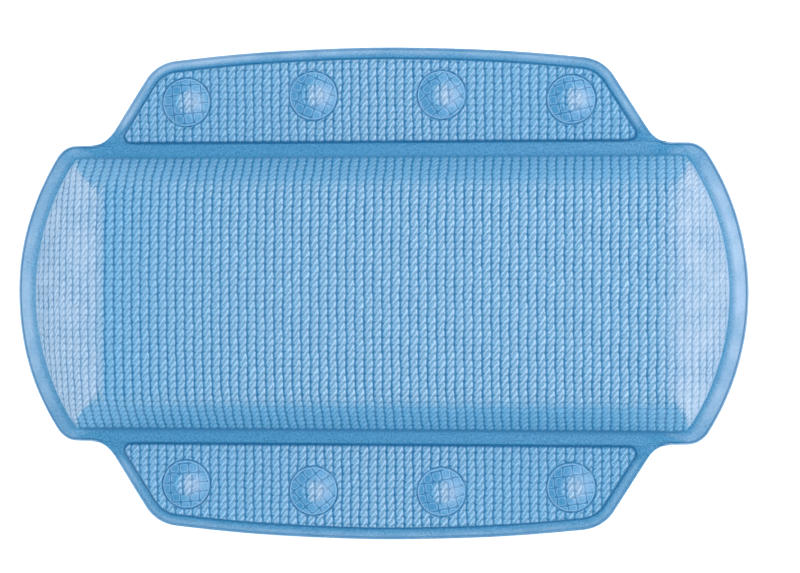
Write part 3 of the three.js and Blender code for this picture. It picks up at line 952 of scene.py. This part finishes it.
def knit_vinyl():
    """Embossed vinyl: foamed cells that are paler than the dense vinyl of the welds, with painted highlights
    on strands, column edges and tile joints, painted sheen on facets, rims and discs, and painted shade in
    grooves, pits, creases and seams and on the sides away from the light.
    """
    n = Nodes("knit_vinyl")
    column, row, emboss = n.attribute("knit")
    tile_u, tile_v, tiles = n.attribute("tile")
    seam = n.attribute("seam", "Fac")
    painted_tone = n.attribute("painted_light", "Fac")  # above 0 where painted sheen goes, below 0 where painted shade goes
    uneven = n.noise(330, 1.0, 0.5)
    rough = n.noise(1350, 2.0, 0.6)
    grain = n.noise(3000, 3.0, 0.65)
    mottle = n.span(rough, 0.36, 0.64, 0.0, 1.0)

    number = n.math("FLOOR", column)
    u = n.math("FRACT", column)
    shift = n.times(n.math("SINE", n.times(number, SHIFT_STEP)), SHIFT)
    sway = n.math("SINE", n.plus(n.times(row, SWAY_RATE), n.times(number, SWAY_STEP)))
    v = n.plus(n.plus(row, shift), n.times(sway, SWAY))
    level = n.math("PINGPONG", v, 0.5)  # 0 between two cells of a column, 0.5 in the middle of one
    side = n.math("MINIMUM", u, n.times(n.minus(1.0, u), GROOVE_SKEW))
    climb = n.times(u, n.plus(n.times(u, STRAND_CURVE), STRAND_RISE))
    strand = n.math("FRACT", n.plus(n.minus(v, climb), n.times(n.minus(uneven, 0.5), 0.7)))

    reach = n.span(side, 0.16, 0.32, 0.0, 1.0)
    ridge = n.times(n.line(strand, 0.52, 0.08, 0.30), reach)
    second = n.times(n.line(strand, 0.02, 0.02, 0.12), n.times(reach, 0.6))
    crease = n.most(n.line(strand, 0.20, 0.02, 0.10), n.times(n.line(strand, 0.86, 0.01, 0.08), 0.7))
    crease = n.times(crease, reach)
    ragged = n.plus(side, n.times(n.minus(rough, 0.5), 0.22))
    groove = n.times(n.span(ragged, 0.08, 0.20, 1.0, 0.0), n.span(level, 0.05, 0.40, 1.0, 0.86))
    lip = n.times(n.line(u, 0.84, 0.03, 0.11), n.span(level, 0.02, 0.22, 0.35, 1.0))
    between = n.span(level, 0.02, 0.12, 1.0, 0.0)
    pit = n.times(n.span(ragged, 0.18, 0.42, 1.0, 0.0), n.span(level, 0.08, 0.26, 1.0, 0.0))
    # painted shade in the grooves, pits and creases in and between the cells
    painted_cavity_mask = n.most(groove, pit, n.times(crease, 0.62), n.times(between, 0.35))
    # painted highlight on the strand ridges and on the right edge of each column, brighter towards the
    # column's right side and dimmed where painted shade lies
    light = n.most(n.times(ridge, 0.70), lip, second)
    light = n.times(light, n.span(u, 0.25, 0.85, 0.70, 1.0))
    light = n.times(light, n.span(painted_tone, -1.0, 0.0, 0.0, 1.0))
    cells = n.mix(mottle, CELL_DEEP, CELL_PALE)
    # the cells turn to their painted shade colour where painted shade is set
    cells = n.mix(n.span(painted_tone, -1.0, 0.0, 0.6, 0.0), cells, CELL_SHADED)
    cells = n.mix(light, cells, PAINTED_HIGHLIGHT)
    cells = n.mix(painted_cavity_mask, cells, PAINTED_CAVITY_SHADE)

    radius = n.times(n.math("SQRT", n.plus(n.times(tile_u, tile_u), n.times(tile_v, tile_v))), TILE)
    bend = n.times(n.minus(uneven, 0.5), 0.25)
    across = []
    for place, first in zip((tile_u, tile_v), TILE_START):
        place = n.math("FRACT", n.plus(n.plus(place, first), bend))
        across.append(n.math("POWER", n.math("ABSOLUTE", n.minus(place, 0.5)), TILE_POWER))
    joint = n.math("POWER", n.plus(*across), 1 / TILE_POWER)
    pressed = n.mix(mottle, TILE_DEEP, TILE_PALE)
    # the tiles turn to their painted shade colour where painted shade is set
    pressed = n.mix(n.span(painted_tone, -1.0, 0.0, 0.8, 0.0), pressed, TILE_SHADED)
    # painted highlight on one side of each tile joint
    pressed = n.mix(n.times(n.line(joint, 0.38, 0.01, 0.05), 0.35), pressed, LIT_EDGE)
    pressed = n.mix(n.span(joint, 0.42, 0.465, 0.0, 0.95), pressed, TILE_JOINT)
    # painted shade in the groove round each disc
    painted_ring_shade = n.times(n.line(radius, DISC_RADIUS + 0.35, 0.10, 0.42), n.span(uneven, 0.40, 0.58, 0.05, 0.75))
    painted_ring_highlight = n.times(n.line(radius, DISC_RADIUS - 0.30, 0.08, 0.36), 0.6)

    # painted sheen: a blotchy whitish veil where painted sheen is set, weaker in the grooves
    painted_sheen_mask = n.times(n.most(painted_tone, 0.0), n.span(n.noise(75, 2.0, 0.5), 0.35, 0.65, 0.30, 0.55))
    painted_sheen_mask = n.times(painted_sheen_mask, n.minus(1.0, n.times(n.times(painted_cavity_mask, emboss), 0.5)))
    speckle = n.plus(n.times(rough, 0.4), n.times(grain, 0.6))
    colour = n.mix(n.span(speckle, 0.45, 0.55, 0.0, 1.0), WELD_DEEP, WELD_PALE)
    colour = n.mix(emboss, colour, cells)
    colour = n.mix(tiles, colour, pressed)
    colour = n.mix(painted_ring_highlight, colour, LIT_EDGE)
    colour = n.mix(painted_sheen_mask, colour, PAINTED_SHEEN)
    colour = n.mix(n.most(painted_ring_shade, n.times(seam, 0.92)), colour, PAINTED_SEAM_SHADE)
    height = n.times(n.minus(n.most(ridge, second), crease), emboss)
    height = n.plus(height, n.plus(n.times(grain, 0.2), n.times(rough, 0.5)))
    n.set(
        Base_Color=colour,
        Roughness=n.span(grain, 0.3, 0.7, 0.34, 0.46),
        Normal=n.bump(height, 0.00020),
        IOR=1.53,
    )
    return n.material


def plain_vinyl():
    n = Nodes("plain_vinyl")
    grain = n.noise(2600, 4.0, 0.6)
    cloud = n.noise(60, 2.0, 0.5)
    n.set(
        Base_Color=n.clouded(cloud, (0.050, 0.240, 0.465, 1), (0.068, 0.270, 0.510, 1)),
        Roughness=n.span(grain, 0.3, 0.7, 0.34, 0.48),
        Normal=n.bump(grain, 0.00012),
        IOR=1.53,
    )
    return n.material


def clear_vinyl():
    n = Nodes("clear_vinyl")
    haze = n.noise(220, 3.0, 0.55)
    n.set(
        Base_Color=n.clouded(haze, (0.80, 0.89, 0.94, 1), (0.88, 0.94, 0.97, 1)),
        Roughness=n.span(haze, 0.3, 0.7, 0.10, 0.22),
        Normal=n.bump(haze, 0.00006),
        Transmission_Weight=0.8,
        IOR=1.49,
    )
    return n.material


def foam():
    n = Nodes("foam")
    cells = n.noise(900, 4.0, 0.7)
    n.set(
        Base_Color=n.clouded(cells, (0.66, 0.60, 0.44, 1), (0.82, 0.77, 0.62, 1)),
        Roughness=0.95,
        Normal=n.bump(cells, 0.0008),
    )
    return n.material


def floor_paper():
    """White paper on a table that is lit from below, so that shadows on it stay faint."""
    n = Nodes("floor_paper")
    n.set(
        Base_Color=n.mix(n.noise(300), (0.94, 0.94, 0.94, 1), (0.96, 0.96, 0.96, 1)),
        Roughness=0.9,
        Emission_Color=(1, 1, 1, 1),
        Emission_Strength=0.45,
    )
    return n.material


# Studio


def area_light(name, place, size, power):
    light = bpy.data.lights.new(name, "AREA")
    light.shape = "RECTANGLE"
    light.size, light.size_y = size
    light.energy = power
    lamp = bpy.data.objects.new(name, light)
    lamp.location = place
    lamp.rotation_mode = "QUATERNION"
    lamp.rotation_quaternion = (-Vector(place)).to_track_quat("-Z", "Y")
    bpy.context.scene.collection.objects.link(lamp)


def studio():
    """A strong soft box high on the right, a weaker one on the left, and fill from both long sides."""
    scene = bpy.context.scene
    scene.view_settings.view_transform = "Standard"
    scene.view_settings.look = "None"
    world = bpy.data.worlds.new("studio")
    world.use_nodes = True
    world.node_tree.nodes["Background"].inputs["Color"].default_value = (1, 1, 1, 1)
    world.node_tree.nodes["Background"].inputs["Strength"].default_value = 0.40
    scene.world = world
    area_light("right_box", (0.48, 0.08, 0.78), (0.40, 0.8), 5.6)
    area_light("left_box", (-0.75, 0.0, 0.50), (0.40, 0.9), 3.6)
    area_light("top_box", (0.0, 0.80, 0.45), (1.3, 0.4), 2.6)
    area_light("bottom_box", (0.0, -0.80, 0.40), (1.3, 0.4), 2.5)
    reach, level = 4.0, -2e-4
    corners = [(x * reach, y * reach, level) for x, y in ((-1, -1), (1, -1), (1, 1), (-1, 1))]
    mesh = bpy.data.meshes.new("floor")
    mesh.from_pydata(corners, [], [(0, 1, 2, 3)])
    mesh.materials.append(floor_paper())
    floor = bpy.data.objects.new("floor", mesh)
    scene.collection.objects.link(floor)


def camera():
    """A metre off, and leaning a little to the right."""
    target, distance, tilt = Vector((0.0087, 0.0030, 0.0)), 0.998, math.radians(5.51)
    sensor, focal_pixels, picture_pixels = 36, 2259, 800
    data = bpy.data.cameras.new("camera")
    data.sensor_width = sensor
    data.lens = focal_pixels * sensor / picture_pixels
    cam = bpy.data.objects.new("camera", data)
    cam.location = target + distance * Vector((math.sin(tilt), 0, math.cos(tilt)))
    cam.rotation_euler = (0, tilt, 0)
    bpy.context.scene.collection.objects.link(cam)
    bpy.context.scene.camera = cam


# Assembly


def cut_size(height):
    """Width and length to which the sheet over one side of the pad was cut, along the middle of that side."""
    across = along_profile(lambda x: height(x, np.zeros_like(x)), float(pad_edge(0.0)))[1][-1] + SIDE_BAND
    down = along_profile(lambda y: height(np.zeros_like(y), y), PAD_HALF)[1][-1] + SHOULDER_Y - PAD_HALF
    return 2 * across, 2 * down


def build():
    knit_material, plain_material, clear_material = knit_vinyl(), plain_vinyl(), clear_vinyl()
    block = foam_block(foam())
    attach(block, "pad")
    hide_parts("foam_core")
    for piece, height, node, slot in (
        (pad_cover(knit_material), front_height, "pad_front_cover", "knit_vinyl"),
        (pad_back(plain_material), back_height, "pad_back_cover", "plain_vinyl"),
    ):
        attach(piece, "pad")
        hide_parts(node)
        size = cut_size(height)
    for side, turn in (("top", 1), ("bottom", -1)):
        cups = [f"cup_{side}_{number}" for number in range(1, len(CUP_X) + 1)]
        for piece, node, slot, under in (
            (flap_cover(side, turn, knit_material), "front_sheet", "knit_vinyl",
             [f"{side}_flap_back", "pad_cover"]),
            (flap_back(side, turn, plain_material), "back_sheet", "plain_vinyl", [*cups, "pad_back"]),
        ):
            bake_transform(piece)
            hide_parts(f"{side}_flap_{node}")
        for number, (x, y) in enumerate(zip(CUP_X, CUP_Y), 1):
            piece = cup(cups[number - 1], x, turn * y, clear_material)
            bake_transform(piece)
            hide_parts(f"suction_cup_{side}_{number}")


studio()
camera()
build()
